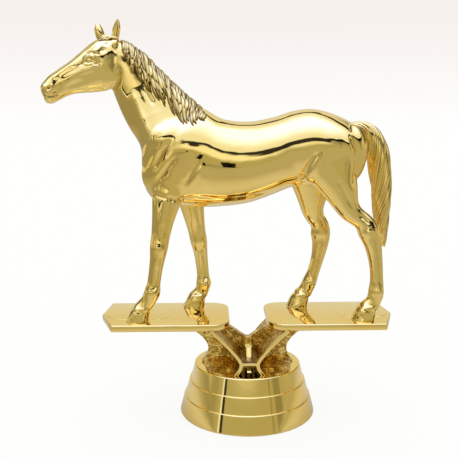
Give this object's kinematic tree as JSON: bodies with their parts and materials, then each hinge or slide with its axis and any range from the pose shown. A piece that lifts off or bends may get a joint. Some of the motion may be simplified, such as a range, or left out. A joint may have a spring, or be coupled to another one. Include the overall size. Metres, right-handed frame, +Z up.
{
  "type": "horse trophy figure",
  "caption": "Standing horse on two flat bars over an X-shaped bracket and a round stepped base, moulded in one piece with a bright gold skin.",
  "frame": {"origin": "centre of the round base's flat underside", "axes": "+Z up, the horse faces -X, and -Y is the horse's left side, which the picture shows"},
  "size_m": [0.0954, 0.0382, 0.1079],
  "materials": {
    "metallised_gold": "moulded plastic, vacuum-metallised in pale gold, mirror bright, with a grained bracket"
  },
  "bodies": {
    "root": {"trophy_figure": "metallised_gold"}
  },
  "joints": []
}
